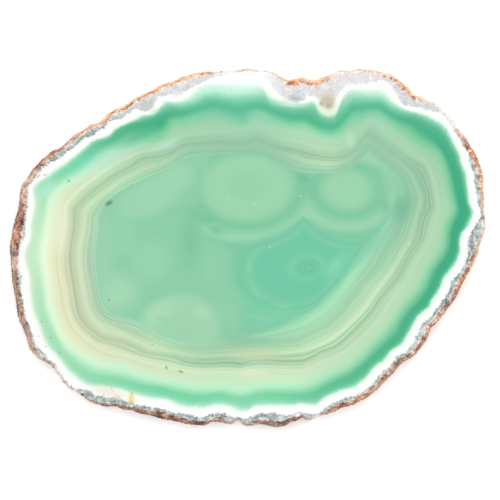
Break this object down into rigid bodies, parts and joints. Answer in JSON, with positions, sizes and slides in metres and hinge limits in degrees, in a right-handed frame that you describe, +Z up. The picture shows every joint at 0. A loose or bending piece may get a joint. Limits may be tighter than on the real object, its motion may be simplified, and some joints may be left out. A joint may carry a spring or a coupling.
{
  "type": "agate slice",
  "caption": "Flat polished slab of banded, green-dyed agate with a thin rough brown skin round its uneven rim.",
  "frame": {"origin": "middle of the slice's bounding box on the lower flat face, which it rests on", "axes": "+X along the length of the slice, +Y across it, +Z up out of the polished face"},
  "size_m": [0.13, 0.098, 0.0055],
  "materials": {
    "agate": "polished"
  },
  "bodies": {
    "root": {"agate_slice": "agate"}
  },
  "joints": []
}
